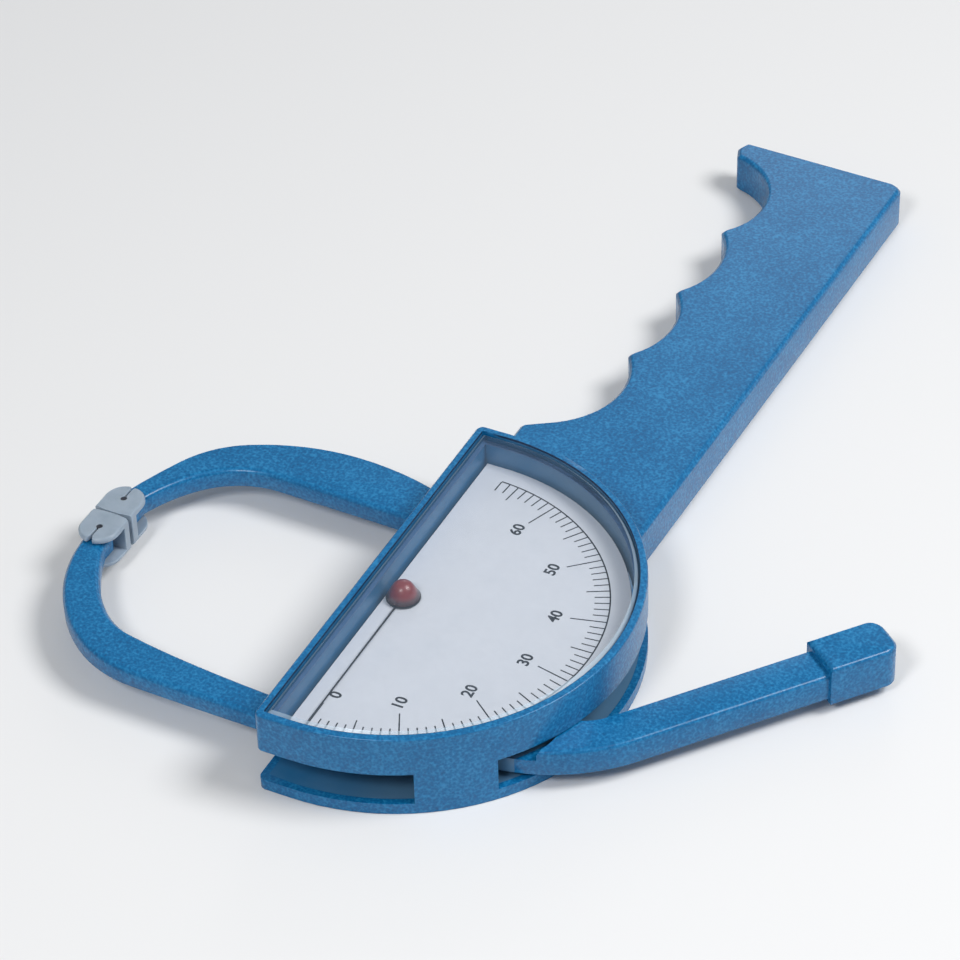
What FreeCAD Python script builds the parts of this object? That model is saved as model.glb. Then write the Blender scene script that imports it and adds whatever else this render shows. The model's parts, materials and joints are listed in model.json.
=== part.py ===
import FreeCAD, Part
import Sketcher
import math
import os
from FreeCAD import Placement, Rotation, Vector

# A hand-held skinfold caliper. A cast frame carries the dial housing, the finger-grooved handle
# and the fixed jaw arm; a cast jaw lever turns on one pivot and is both moving jaw and thumb bar.
# A toothed sector on the lever drives the needle through one idler gear.
#
# Row frame, in millimetres: Z is the needle's axis, out of the dial face, with z = 0 on the flat
# back. +Y runs along the handle, +X is the thumb side and the jaws open on -X.

doc = FreeCAD.newDocument("skinfold_caliper")
sheet = doc.addObject("Spreadsheet::Sheet", "size")

SIZES = [
    # the dial housing, a deep cup with one flat side
    ("housing_radius", 45.7, "needle axis to the outside of the round wall"),
    ("housing_flat", 6.6, "needle axis to the outside of the flat wall"),
    ("housing_depth", 18.0, "back of the frame to the rim"),
    ("housing_corner", 1.4, "rounding of the two corners of the flat side"),
    ("wall", 2.5, "thickness of the housing wall"),
    ("floor", 2.4, "thickness of the housing floor"),
    ("rim_land", 1.5, "width of the rim outside the lens"),
    ("rim_break", 0.4, "bevel of the rim's outer edge"),
    ("slot_top", 9.5, "height at which the lever's two slots in the wall end"),
    ("slot_margin", 2.0, "angle left free each side of the lever's sweep, degrees"),
    # the handle
    ("handle_end", 167.5, "needle axis to the end of the handle"),
    ("handle_thick", 9.5, "thickness of the handle, and top of the fixed arm"),
    ("handle_root", 31.5, "thumb side of the handle at the housing"),
    ("handle_tip", 34.7, "thumb side of the handle at its end"),
    ("groove_count", 2, "equal finger grooves between the first and the last"),
    ("groove_first", 88.7, "crest after the first groove"),
    ("groove_crest", 5.3, "distance of the crests from the needle axis"),
    ("groove_depth", 4.4, "depth of a finger groove"),
    ("hook_length", 31.8, "last crest to the end of the handle"),
    ("hook_overhang", 3.5, "how far the hook passes the needle axis"),
    ("handle_edge", 1.0, "bevel of the handle's edges"),
    ("crest_round", 1.4, "rounding of the crests between the grooves"),
    ("hook_round", 1.3, "rounding of the hook and of the handle's root"),
    ("corner_round", 3.0, "rounding of the handle's far corner"),
    # the jaw arms
    ("arm_base", 4.6, "underside of the two jaw arms"),
    ("arm_rise", 36.8, "closing line of the jaws to the outer edge of the fixed arm"),
    ("arm_drop", 37.4, "closing line of the jaws to the outer edge of the moving arm"),
    ("arm_width", 12.4, "width of the fixed arm"),
    ("arm_edge", 0.9, "bevel of the arms' edges"),
    ("tongue_width", 5.0, "width of the arms' ends, which the tips snap over"),
    ("tongue_nose", 2.0, "pin to the round end of an arm"),
    ("tongue_root", 7.5, "closing line to the start of an arm's straight end"),
    # the jaws
    ("jaw_reach", 63.3, "needle axis to the jaw pins, along the flat side's normal"),
    ("jaw_gap", 0.3, "gap between the closed tips"),
    ("tip_width", 8.2, "width of a jaw tip"),
    ("tip_pin_offset", 4.6, "closing line to the pins"),
    ("tip_height", 7.5, "height of a jaw tip along the pin"),
    ("tip_base", 3.3, "underside of the tips above the back"),
    ("tip_slot", 5.2, "height of the slot that takes the arm's end"),
    ("tip_room", 0.35, "gap between an arm's end and the bottom of that slot"),
    ("tip_crown", 18.0, "radius of the crowned contact face"),
    ("tip_split", 0.4, "width of the snap-in split in each cheek"),
    ("tip_mouth", 1.6, "width of the notch at the mouth of that split"),
    ("tip_notch", 1.1, "depth of that notch"),
    ("tip_edge", 0.5, "bevel of the tips' edges"),
    ("tip_pin_radius", 0.6, "radius of a tip's pin"),
    # the jaw lever
    ("pivot_x", 27.0, "needle axis to the lever's pivot, along X"),
    ("pivot_y", -18.5, "needle axis to the lever's pivot, along Y"),
    ("lever_travel", 41.5, "full travel of the lever, degrees"),
    ("lever_base", 2.8, "underside of the lever over the housing floor"),
    ("lever_top", 9.2, "top of the lever"),
    ("hub_radius", 8.8, "radius of the lever's hub"),
    ("hub_top", 7.0, "top of the hub, under the sector gear"),
    ("bar_offset", 10.2, "pivot to the inner edge of the thumb bar"),
    ("bar_width", 8.5, "width of the thumb bar"),
    ("bar_angle", 50.4, "direction of the thumb bar with the jaws closed, degrees"),
    ("bar_reach", 27.6, "housing to the end of the thumb bar with the jaws open"),
    ("bar_room", 1.5, "clearance between the open thumb bar and the boss beside it"),
    ("bar_hollow", 10.0, "hollow round between the hub and the thumb bar"),
    ("pad_length", 14.6, "length of the thumb pad"),
    ("pad_rise", 1.9, "how far the pad stands above the bar"),
    ("pad_proud", 0.6, "how far the pad stands out beside the bar"),
    ("pad_corner", 3.0, "rounding of the pad's corners"),
    ("bush_radius", 4.5, "outside of the pivot bush"),
    ("shank_radius", 3.0, "shank of the pivot screw"),
    ("head_radius", 4.9, "head of the pivot screw"),
    ("head_height", 1.1, "height of the pivot screw's head"),
    ("head_sink", 0.2, "head of the pivot screw below the back"),
    ("head_room", 0.3, "clearance round the pivot screw's head"),
    ("thread_radius", 2.0, "thread of the pivot screw"),
    ("nut_radius", 4.0, "centre to a corner of the pivot nut"),
    ("nut_height", 1.6, "height of the pivot nut"),
    ("running_gap", 0.04, "radial clearance of a running fit"),
    # the dial, its plate and the lens
    ("plate_level", 9.6, "underside of the movement plate"),
    ("plate_thick", 0.8, "thickness of the movement plate"),
    ("plate_gap", 0.5, "gap between the movement plate and the wall"),
    ("dial_lift", 0.7, "gap between the movement plate and the dial"),
    ("dial_thick", 0.5, "thickness of the dial"),
    ("dial_gap", 0.7, "gap between the dial and the wall"),
    ("lens_thick", 1.8, "thickness of the lens"),
    ("lens_gap", 0.35, "gap round the lens"),
    ("lens_bevel", 0.7, "bevel of the lens edge"),
    ("lens_proud", 0.1, "how far the lens stands below the rim"),
    ("gasket_thick", 0.3, "thickness of the lens gasket"),
    ("gasket_width", 0.8, "width of the lens gasket"),
    ("needle_level", 11.85, "underside of the needle"),
    ("needle_thick", 0.3, "thickness of the needle"),
    ("needle_gap", 4.6, "gap between the needle's point and the wall"),
    ("needle_width", 0.6, "width of the needle"),
    ("needle_hub", 3.9, "radius of the disc at the needle's root"),
    ("cap_radius", 3.2, "radius of the foot of the needle's cap"),
    ("cap_crown", 2.4, "radius of the cap's rounded top"),
    ("cap_rise", 1.1, "foot of the cap to the centre of that top"),
    ("staff_radius", 0.8, "radius of the needle staff"),
    ("staff_seat", 1.0, "bottom of the holes in the floor that hold the arbor, the stud and the bush"),
    ("staff_foot", 0.5, "radius of the staff's lower pivot"),
    ("staff_head", 0.6, "radius of the staff's end, which carries the needle and its cap"),
    ("lower_bush", 1.7, "outside of the staff's lower bush"),
    ("upper_bush", 1.4, "outside of the staff's upper bush"),
    # the gear train
    ("module", 0.5, "tooth module"),
    ("sector_teeth", 50, "teeth of the sector's full circle"),
    ("idler_teeth", 35, "teeth of the idler gear"),
    ("pinion_teeth", 12, "teeth of the needle pinion"),
    ("gear_level", 7.3, "underside of the gears"),
    ("gear_thick", 1.5, "thickness of the gears"),
    ("backlash", 0.1, "play between two teeth"),
    ("arbor_radius", 1.1, "radius of the idler's arbor"),
    ("ring_radius", 7.9, "outside of the sector's ring"),
    ("ring_bore", 4.6, "bore of the sector's ring"),
    # springs
    ("coil_x", 23.5, "return spring's coil, along X"),
    ("coil_y", 11.0, "return spring's coil, along Y"),
    ("coil_radius", 3.9, "mean radius of the return spring's coil"),
    ("coil_wire", 1.1, "wire of the return spring"),
    ("coil_pitch", 1.35, "rise of one turn of the return spring"),
    ("coil_turns", 2.62, "turns of the return spring"),
    ("coil_leg", 9.5, "length of the return spring's upper leg"),
    ("coil_base", 4.7, "middle of the wire where the coil starts"),
    ("post_radius", 0.9, "radius of the post on the lever that the spring pushes"),
    ("horn_reach", 13.6, "pivot to the post on the lever that the spring pushes"),
    ("horn_angle", 66.0, "direction of that post with the jaws closed, degrees"),
    ("horn_thick", 1.6, "thickness of the ear that carries that post"),
    ("collet_radius", 1.5, "radius of the collet that holds the hairspring"),
    ("hair_pitch", 0.6, "spacing of the hairspring's turns"),
    ("hair_thick", 0.15, "thickness of the hairspring's strip"),
    ("hair_turns", 3, "turns of the hairspring"),
    ("hair_level", 4.4, "underside of the hairspring"),
    ("hair_height", 0.8, "height of the hairspring's strip"),
    ("stud_radius", 0.45, "radius of the stud that holds the hairspring's end"),
    # fasteners
    ("boss_radius", 2.2, "radius of the bosses under the movement plate"),
    ("boss_gap", 3.4, "gap between those bosses and the round wall"),
    ("plate_screw", 0.9, "radius of the movement plate's screws"),
    ("plate_screw_length", 3.6, "length of the movement plate's screws"),
    ("sector_screw", 0.8, "radius of the sector's screws"),
    ("sector_screw_length", 2.8, "length of the sector's screws"),
    ("bottom_gap", 0.6, "room left under the end of a screw"),
    ("joint_sink", 0.2, "how far a fused boss or an arm's end reaches into the metal it joins"),
]

size = {}
for row, (name, value, note) in enumerate(SIZES, start=1):
    sheet.set(f"A{row}", name)
    sheet.set(f"B{row}", str(value))
    sheet.set(f"C{row}", note)
    sheet.setAlias(f"B{row}", name)
    size[name] = value
doc.recompute()


class Sizes:
    """The driving sizes by name, for what is worked out before it is drawn."""

    def __getattr__(self, name):
        return size[name]


S = Sizes()


def polar(radius, degrees, centre=(0.0, 0.0)):
    turn = math.radians(degrees)
    return (centre[0] + radius * math.cos(turn), centre[1] + radius * math.sin(turn))


def bearing(centre, point):
    return math.degrees(math.atan2(point[1] - centre[1], point[0] - centre[0]))


# ---------------------------------------------------------------- drawing helpers

def at(point, z=0.0):
    return Vector(point[0], point[1], z)


def line(start, end):
    return Part.LineSegment(at(start), at(end))


def arc(start, through, end):
    return Part.Arc(at(start), at(through), at(end))


def arcs(start, degrees, *ends):
    """A chain of arcs, each tangent to the one before, that leaves start in a direction."""
    chain = []
    for end in ends:
        chord = bearing(start, end)
        turned = math.radians(chord - degrees)
        half = math.dist(start, end) / 2
        middle = halfway(start, end)
        bulge = polar(half * math.tan(turned / 2), chord - 90, middle)
        chain.append(arc(start, bulge, end))
        degrees = 2 * chord - degrees
        start = end
    return chain


def heading(degrees):
    return Vector(*polar(1.0, degrees), 0)


def body(name):
    made = doc.addObject("PartDesign::Body", name)
    made.Label = name
    return made


def sketch(owner, name, level="0"):
    """An empty sketch on the body's own XY plane, lifted to a level."""
    plane = [part for part in owner.Origin.OriginFeatures if part.Role == "XY_Plane"][0]
    made = owner.newObject("Sketcher::SketchObject", name)
    made.AttachmentSupport = [(plane, "")]
    made.MapMode = "FlatFace"
    made.setExpression("AttachmentOffset.Base.z", level)
    return made


def draw(drawing, curves):
    for piece in curves:
        drawing.addGeometry(piece, False)


def circle(drawing, radius, x="0", y="0", start=1.0):
    """A circle whose radius and centre are expressions on the sheet."""
    index = drawing.addGeometry(Part.Circle(Vector(0, 0, 0), Vector(0, 0, 1), start), False)
    rules = [("Radius", radius), ("DistanceX", x), ("DistanceY", y)]
    for kind, rule in rules:
        if kind == "Radius":
            drawing.addConstraint(Sketcher.Constraint("Radius", index, start))
        elif rule == "0":
            across = "PointOnObject"
            axis = -2 if kind == "DistanceX" else -1
            drawing.addConstraint(Sketcher.Constraint(across, index, 3, axis))
            continue
        else:
            drawing.addConstraint(Sketcher.Constraint(kind, -1, 1, index, 3, 1.0))
        drawing.setExpression(f"Constraints[{drawing.ConstraintCount - 1}]", rule)


def d_shape(drawing, radius, flat):
    """The housing's outline: half a circle, closed by a flat side beyond its diameter."""
    r = S.housing_radius
    f = S.housing_flat
    draw(drawing, [
        arc((0, -r), (r, 0), (0, r)),
        line((0, r), (-f, r)),
        line((-f, r), (-f, -r)),
        line((-f, -r), (0, -r)),
    ])
    rule = Sketcher.Constraint
    drawing.addConstraint([
        rule("Coincident", 0, 3, -1, 1),
        rule("Coincident", 0, 2, 1, 1),
        rule("Coincident", 1, 2, 2, 1),
        rule("Coincident", 2, 2, 3, 1),
        rule("Coincident", 3, 2, 0, 1),
        rule("PointOnObject", 0, 2, -2),
        rule("PointOnObject", 0, 1, -2),
        rule("Horizontal", 1),
        rule("Vertical", 2),
        rule("Horizontal", 3),
        rule("Radius", 0, r),
        rule("DistanceX", 2, 1, -1, 1, f),
    ])
    drawing.setExpression("Constraints[10]", radius)
    drawing.setExpression("Constraints[11]", flat)


def pad(owner, drawing, height):
    made = owner.newObject("PartDesign::Pad", drawing.Name + "_pad")
    made.Profile = drawing
    made.setExpression("Length", height)
    return made


def pocket(owner, drawing, depth):
    """A pocket that cuts down from the sketch's level."""
    made = owner.newObject("PartDesign::Pocket", drawing.Name + "_cut")
    made.Profile = drawing
    made.setExpression("Length", depth)
    return made


def fillet(owner, base, edges, radius):
    made = owner.newObject("PartDesign::Fillet", base.Name + "_round")
    made.Base = (base, edges)
    made.setExpression("Radius", radius)
    return made


def bevel(owner, base, edges, width):
    made = owner.newObject("PartDesign::Chamfer", base.Name + "_bevel")
    made.Base = (base, edges)
    made.setExpression("Size", width)
    return made


def upright(feature, points, reach=0.6):
    """Names of the vertical edges of a feature that pass within reach of the given points."""
    found = []
    for number, edge in enumerate(feature.Shape.Edges, start=1):
        ends = [vertex.Point for vertex in edge.Vertexes]
        if len(ends) != 2 or abs(ends[0].x - ends[1].x) + abs(ends[0].y - ends[1].y) > 1e-4:
            continue
        if any(math.hypot(ends[0].x - x, ends[0].y - y) < reach for x, y in points):
            found.append(f"Edge{number}")
    return found


def level_edges(feature, levels, besides=()):
    """Names of the edges of a feature that lie flat at one of the levels.

    Edges whose middle is at one of the points in besides are left out."""
    found = []
    for number, edge in enumerate(feature.Shape.Edges, start=1):
        box = edge.BoundBox
        if box.ZLength > 1e-4 or all(abs(box.ZMin - z) > 1e-4 for z in levels):
            continue
        middle = edge.valueAt((edge.FirstParameter + edge.LastParameter) / 2)
        if all(math.hypot(middle.x - x, middle.y - y) > 0.5 for x, y in besides):
            found.append(f"Edge{number}")
    return found


def halfway(first, second):
    return ((first[0] + second[0]) / 2, (first[1] + second[1]) / 2)


def cylinder(name, radius, height, z="0", x="0", y="0"):
    made = doc.addObject("Part::Cylinder", name)
    made.setExpression("Radius", radius)
    made.setExpression("Height", height)
    place(made, x, y, z)
    return made


def box(name, length, width, height, x="0", y="0", z="0"):
    made = doc.addObject("Part::Box", name)
    made.setExpression("Length", length)
    made.setExpression("Width", width)
    made.setExpression("Height", height)
    place(made, x, y, z)
    return made


def place(made, x="0", y="0", z="0"):
    made.setExpression("Placement.Base.x", x)
    made.setExpression("Placement.Base.y", y)
    made.setExpression("Placement.Base.z", z)


def fuse(name, *pieces):
    made = doc.addObject("Part::MultiFuse", name)
    made.Label = name
    made.Shapes = list(pieces)
    return made


def cut(name, base, tool):
    made = doc.addObject("Part::Cut", name)
    made.Label = name
    made.Base = base
    made.Tool = tool
    return made


# ---------------------------------------------------------------- places worked out from the sizes

PIVOT = (S.pivot_x, S.pivot_y)
JAW_X = -S.jaw_reach
PIN_Y = S.tip_pin_offset
HOUSING_INSIDE = S.housing_radius - S.wall
SECTOR_RADIUS = S.module * S.sector_teeth / 2
IDLER_RADIUS = S.module * S.idler_teeth / 2
PINION_RADIUS = S.module * S.pinion_teeth / 2


def idler_place():
    """The idler's centre, in mesh with the sector and with the pinion."""
    far = SECTOR_RADIUS + IDLER_RADIUS
    near = IDLER_RADIUS + PINION_RADIUS
    apart = math.hypot(*PIVOT)
    lean = math.acos((near ** 2 + apart ** 2 - far ** 2) / (2 * near * apart))
    return polar(near, bearing((0, 0), PIVOT) + math.degrees(lean))


IDLER = idler_place()


def mesh_angles():
    """Directions of one tooth on the sector, the idler and the pinion, all in mesh."""
    sector_tooth = bearing(PIVOT, IDLER)
    idler_tooth = sector_tooth + 180 + 180 / S.idler_teeth
    out = bearing(IDLER, (0, 0))
    share = ((out - idler_tooth) / (360 / S.idler_teeth)) % 1
    pinion_tooth = out + 180 + (share + 0.5) * 360 / S.pinion_teeth
    return sector_tooth, idler_tooth, pinion_tooth


SECTOR_TOOTH, IDLER_TOOTH, PINION_TOOTH = mesh_angles()


ARM_ROOT = (7.5, 6.6 - S.arm_drop)
LOWER_CORNER = (-S.housing_flat, -S.housing_radius)
HORN = polar(S.horn_reach, S.horn_angle, PIVOT)
SECTOR_SCREWS = [polar(S.ring_radius - 1.4, angle, PIVOT) for angle in (10.0, 232.0)]
BOSS_CIRCLE = HOUSING_INSIDE - S.boss_gap - S.boss_radius
BOSS_BY_FLAT = S.wall + S.boss_radius + S.bottom_gap - S.housing_flat


def on_circle(radius, start, degrees):
    """Where a line from start in a direction leaves a circle about the needle's axis."""
    step = heading(degrees)
    run = start[0] * step.x + start[1] * step.y
    far = math.sqrt(run ** 2 - start[0] ** 2 - start[1] ** 2 + radius ** 2) - run
    return (start[0] + far * step.x, start[1] + far * step.y)


# with the jaws fully open, the thumb bar's inner edge starts beside the pivot and leaves the housing
OPEN_ANGLE = S.bar_angle + S.lever_travel
OPEN_FOOT = polar(S.bar_offset, OPEN_ANGLE - 90, PIVOT)
OPEN_EXIT = on_circle(S.housing_radius, OPEN_FOOT, OPEN_ANGLE)
BAR_LENGTH = math.dist(OPEN_FOOT, OPEN_EXIT) + S.bar_reach


def boss_by_bar():
    """The boss on the boss circle that the open thumb bar stops short of."""
    aside = S.bar_offset - S.boss_radius - S.bar_room
    return on_circle(BOSS_CIRCLE, polar(aside, OPEN_ANGLE - 90, PIVOT), OPEN_ANGLE)


PLATE_SCREWS = [(BOSS_BY_FLAT, -17.0), polar(BOSS_CIRCLE, 89.2), boss_by_bar()]

# points of the arms' edges: X from the jaw pins, and Y from the outer edge of that arm's straight part
# (from its inner edge for the fixed arm's inner edge)
FIXED_OUTER = [(34.8, 0.0), (12.8, -5.5), (2.8, -16.0)]
FIXED_INNER = [(22.8, 0.0), (12.8, -2.8), (7.8, -7.3)]
MOVING_OUTER = [(1.4, 16.4), (11.6, 5.0), (25.3, 0.5)]
MOVING_INNER = [(33.3, 8.1), (20.1, 10.1), (13.3, 13.3), (8.4, 18.6)]

# points of the handle: from the hook's overhang and from the handle's end
HOOK = [(1.2, -5.4), (0.0, -1.9), (1.2, 0.6)]
HANDLE_ROOT = (-4.3, S.housing_radius + 13.6)
HANDLE_NECK = (0.0, S.housing_radius + 16.3)


# ---------------------------------------------------------------- the cast frame

def housing_block():
    made = body("housing_block")
    outline = sketch(made, "housing_outline")
    d_shape(outline, "size.housing_radius", "size.housing_flat")
    block = pad(made, outline, "size.housing_depth")
    doc.recompute()
    flat = -S.housing_flat
    corners = upright(block, [(flat, S.housing_radius), (flat, -S.housing_radius)])
    rounded = fillet(made, block, corners, "size.housing_corner")
    doc.recompute()
    bevel(made, rounded, level_edges(rounded, [S.housing_depth]), "size.rim_break")
    return made


def handle_block():
    """The handle: a tapering bar with finger grooves and a hook at its end."""
    end = S.handle_end
    crest = S.groove_crest
    last = end - S.hook_length
    step = (last - S.groove_first) / S.groove_count
    crests = [S.groove_first + step * k for k in range(int(S.groove_count) + 1)]
    mid_wall = S.housing_radius - S.wall / 2
    foot = (S.handle_root, math.sqrt(mid_wall ** 2 - S.handle_root ** 2))
    root = HANDLE_ROOT
    neck = HANDLE_NECK
    hook_under, hook_tip, hook_top = [(x - S.hook_overhang, end + y) for x, y in HOOK]
    corner = (S.handle_tip, end - 0.9)
    path = [line((root[0], mid_wall), root), line(root, neck)]
    bottom = (crest + S.groove_depth - 0.7, (neck[1] + crests[0]) / 2 + 0.5)
    path.append(arc(neck, bottom, (crest, crests[0])))
    for low, high in zip(crests, crests[1:]):
        path.append(arc((crest, low), (crest + S.groove_depth, (low + high) / 2), (crest, high)))
    path.append(arc((crest, last), (crest + S.groove_depth + 0.2, last + 10.8), hook_under))
    path += [line(hook_under, hook_tip), line(hook_tip, hook_top), line(hook_top, corner)]
    path += [line(corner, foot), line(foot, (root[0], mid_wall))]

    made = body("handle_block")
    outline = sketch(made, "handle_outline")
    draw(outline, path)
    block = pad(made, outline, "size.handle_thick")
    doc.recompute()
    crests_round = fillet(made, block, upright(block, [(crest, y) for y in crests]), "size.crest_round")
    doc.recompute()
    hook = upright(crests_round, [hook_under, hook_tip, hook_top, root, neck])
    hook_round = fillet(made, crests_round, hook, "size.hook_round")
    doc.recompute()
    corner_round = fillet(made, hook_round, upright(hook_round, [corner]), "size.corner_round")
    doc.recompute()
    bevel(made, corner_round, level_edges(corner_round, [0, S.handle_thick]), "size.handle_edge")
    return made


def arm_ends(side):
    """The two corners where an arm's edges meet its straight end: on the far side and by the throat."""
    half = S.tongue_width / 2
    y = side * S.tongue_root
    return (JAW_X - half, y), (JAW_X + half, y)


def points_from(origin, offsets):
    return [(origin[0] + x, origin[1] + y) for x, y in offsets]


def tongue(name, side, top):
    """The straight, round-ended end of an arm, which the jaw tip snaps over."""
    half = S.tongue_width / 2
    pin = side * PIN_Y
    root = side * (S.tongue_root + S.joint_sink)
    left = JAW_X - half
    right = JAW_X + half
    nose = (JAW_X, pin - side * S.tongue_nose)
    made = body(name)
    outline = sketch(made, name + "_outline", "size.arm_base")
    draw(outline, [
        arc((left, pin), nose, (right, pin)),
        line((right, pin), (right, root)),
        line((right, root), (left, root)),
        line((left, root), (left, pin)),
    ])
    block = pad(made, outline, f"size.{top} - size.arm_base")
    doc.recompute()
    edges = level_edges(block, [S.arm_base, size[top]], [nose, (JAW_X, root)])
    bevel(made, block, edges, "size.arm_edge")
    return made


def pin_hole(name, side):
    """The hole for a tip's pin, which is a press fit in the arm."""
    y = f"{side} * size.tip_pin_offset"
    return cylinder(name, "size.tip_pin_radius", "20", "-2", "-size.jaw_reach", y)


def fixed_arm():
    """The fixed arm, from inside the housing's flat wall to its straight end."""
    top = S.arm_rise
    under = S.arm_rise - S.arm_width
    wall_x = 1.8 - S.housing_flat
    outer_foot = (wall_x, top - 5.0)
    inner_foot = (wall_x, under - 0.9)
    outer_end, inner_end = arm_ends(+1)
    outer = arcs(outer_foot, 156, *points_from((JAW_X, top), FIXED_OUTER), outer_end)
    inner = arcs(inner_foot, 178, *points_from((JAW_X, under), FIXED_INNER), inner_end)
    made = body("arm_block")
    outline = sketch(made, "arm_outline", "size.arm_base")
    draw(outline, outer + inner + [line(outer_end, inner_end), line(inner_foot, outer_foot)])
    block = pad(made, outline, "size.handle_thick - size.arm_base")
    doc.recompute()
    ends = [halfway(outer_foot, inner_foot), halfway(outer_end, inner_end)]
    bevel(made, block, level_edges(block, [S.arm_base, S.handle_thick], ends), "size.arm_edge")
    return made


def wedge(owner, name, start, end, radius, level, depth):
    """A slot in the wall: a sector about the lever's pivot, which the lever sweeps."""
    slot = sketch(owner, name, level)
    middle = (start + end) / 2
    first = polar(radius, start, PIVOT)
    last = polar(radius, end, PIVOT)
    draw(slot, [line(PIVOT, first), arc(first, polar(radius, middle, PIVOT), last), line(last, PIVOT)])
    return pad(owner, slot, depth)


def lever_sweep():
    """The angles about the pivot that the jaw arm and the thumb bar sweep in the wall."""
    margin = S.slot_margin
    inner_edge = (S.wall / 2 - S.housing_flat, 7.2 - S.arm_drop)
    arm_start = bearing(PIVOT, inner_edge) % 360 - margin
    arm_end = bearing(PIVOT, ARM_ROOT) % 360 + S.lever_travel + 2 * margin
    hub_foot = (PIVOT[0], PIVOT[1] - S.hub_radius)
    bar_start = bearing(PIVOT, on_circle(HOUSING_INSIDE, hub_foot, 0)) - 2 * margin
    bar_end = bearing(PIVOT, OPEN_EXIT) + margin
    return arm_start, arm_end, bar_start, bar_end


def frame_hollow():
    """Everything that the casting is hollowed by."""
    made = body("frame_hollow")
    cavity = sketch(made, "cavity", "size.floor")
    d_shape(cavity, "size.housing_radius - size.wall", "size.housing_flat - size.wall")
    pad(made, cavity, "size.housing_depth")
    seat = sketch(made, "lens_seat", "size.housing_depth - size.lens_thick - size.lens_proud"
                  " - size.gasket_thick")
    d_shape(seat, "size.housing_radius - size.rim_land", "size.housing_flat - size.rim_land")
    pad(made, seat, "size.lens_thick + 4")
    arm_start, arm_end, bar_start, bar_end = lever_sweep()
    height = "size.slot_top - size.floor"
    jaw_far = math.dist(PIVOT, LOWER_CORNER) + S.wall
    thumb_far = math.dist(PIVOT, OPEN_EXIT) + S.wall
    wedge(made, "jaw_slot", arm_start, arm_end, jaw_far, "size.floor", height)
    wedge(made, "thumb_slot", bar_start, bar_end, thumb_far, "size.floor", height)
    return made


def body_frame():
    blank = fuse("frame_blank", housing_block(), handle_block(), fixed_arm())
    hollow = cut("frame_hollowed", blank, frame_hollow())
    base = "size.floor - size.joint_sink"
    bosses = [
        cylinder(f"plate_boss_{k}", "size.boss_radius", f"size.plate_level - ({base})", base, str(x), str(y))
        for k, (x, y) in enumerate(PLATE_SCREWS)
    ]
    bosses.append(cylinder("staff_boss", "size.lower_bush + 0.9", "1.0 + size.joint_sink", base))
    bosses.append(cylinder("spring_boss", "size.coil_radius - size.coil_wire / 2 - 0.95",
                           "size.lever_top - size.floor - 0.6", base, "size.coil_x", "size.coil_y"))
    solid = fuse("frame_solid", hollow, tongue("fixed_tongue", +1, "handle_thick"), *bosses)
    tap = "size.plate_screw_length + size.bottom_gap"
    holes = [
        cylinder(f"plate_tap_{k}", "size.plate_screw", f"{tap} + 1",
                 f"size.plate_level + size.plate_thick - ({tap})", str(x), str(y))
        for k, (x, y) in enumerate(PLATE_SCREWS)
    ]
    holes.append(pin_hole("fixed_pin_hole", +1))
    holes.append(cylinder("pivot_hole", "size.shank_radius", "size.floor + 2", "-1",
                          "size.pivot_x", "size.pivot_y"))
    holes.append(cylinder("pivot_head_hole", "size.head_radius + size.head_room",
                          "size.head_sink + size.head_height + 1", "-1", "size.pivot_x", "size.pivot_y"))
    holes.append(cylinder("staff_bush_hole", "size.lower_bush", "4", "size.staff_seat"))
    for name, radius, place_at in [("idler_hole", "size.arbor_radius", IDLER),
                                   ("hair_stud_hole", "size.stud_radius", HAIR_STUD)]:
        holes.append(cylinder(name, radius, "3", "size.staff_seat", str(place_at[0]), str(place_at[1])))
    return cut("body_frame", solid, fuse("frame_holes", *holes))


# ---------------------------------------------------------------- the jaw lever

def moving_arm_edges():
    """The moving arm's outline, from its straight end to the hub, and the middles of its two ends."""
    drop = -S.arm_drop
    root = S.hub_radius - 0.6
    outer_end, inner_end = arm_ends(-1)
    outer_root = polar(root, -125, PIVOT)
    inner_root = polar(root, 165, PIVOT)
    outer = arcs(outer_end, -86, *points_from((JAW_X, drop), MOVING_OUTER), (-10.0, drop),
                 ARM_ROOT, outer_root)
    inner = arcs(inner_root, 226.3, (1.0, drop + 8.6), (-11.3, drop + 6.5),
                 *points_from((JAW_X, drop), MOVING_INNER), inner_end)
    edges = outer + inner + [line(outer_root, inner_root), line(inner_end, outer_end)]
    return edges, [halfway(outer_root, inner_root), halfway(inner_end, outer_end)]


def moving_arm():
    edges, ends = moving_arm_edges()
    made = body("moving_arm")
    outline = sketch(made, "moving_arm_outline", "size.arm_base")
    draw(outline, edges)
    block = pad(made, outline, "size.lever_top - size.arm_base")
    doc.recompute()
    bevel(made, block, level_edges(block, [S.arm_base, S.lever_top], ends), "size.arm_edge")
    return made


def arm_root():
    """What thickens the moving arm downwards where it lies inside the housing."""
    edges, ends = moving_arm_edges()
    made = body("arm_root_blank")
    outline = sketch(made, "arm_root_outline", "size.lever_base")
    draw(outline, edges)
    pad(made, outline, "size.arm_base - size.lever_base + size.arm_edge")
    inside = cylinder("arm_root_round", str(math.dist(PIVOT, LOWER_CORNER) - S.wall), "20", "0",
                      "size.pivot_x", "size.pivot_y")
    root = doc.addObject("Part::Common", "arm_root")
    root.Base = made
    root.Tool = inside
    return root


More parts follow.
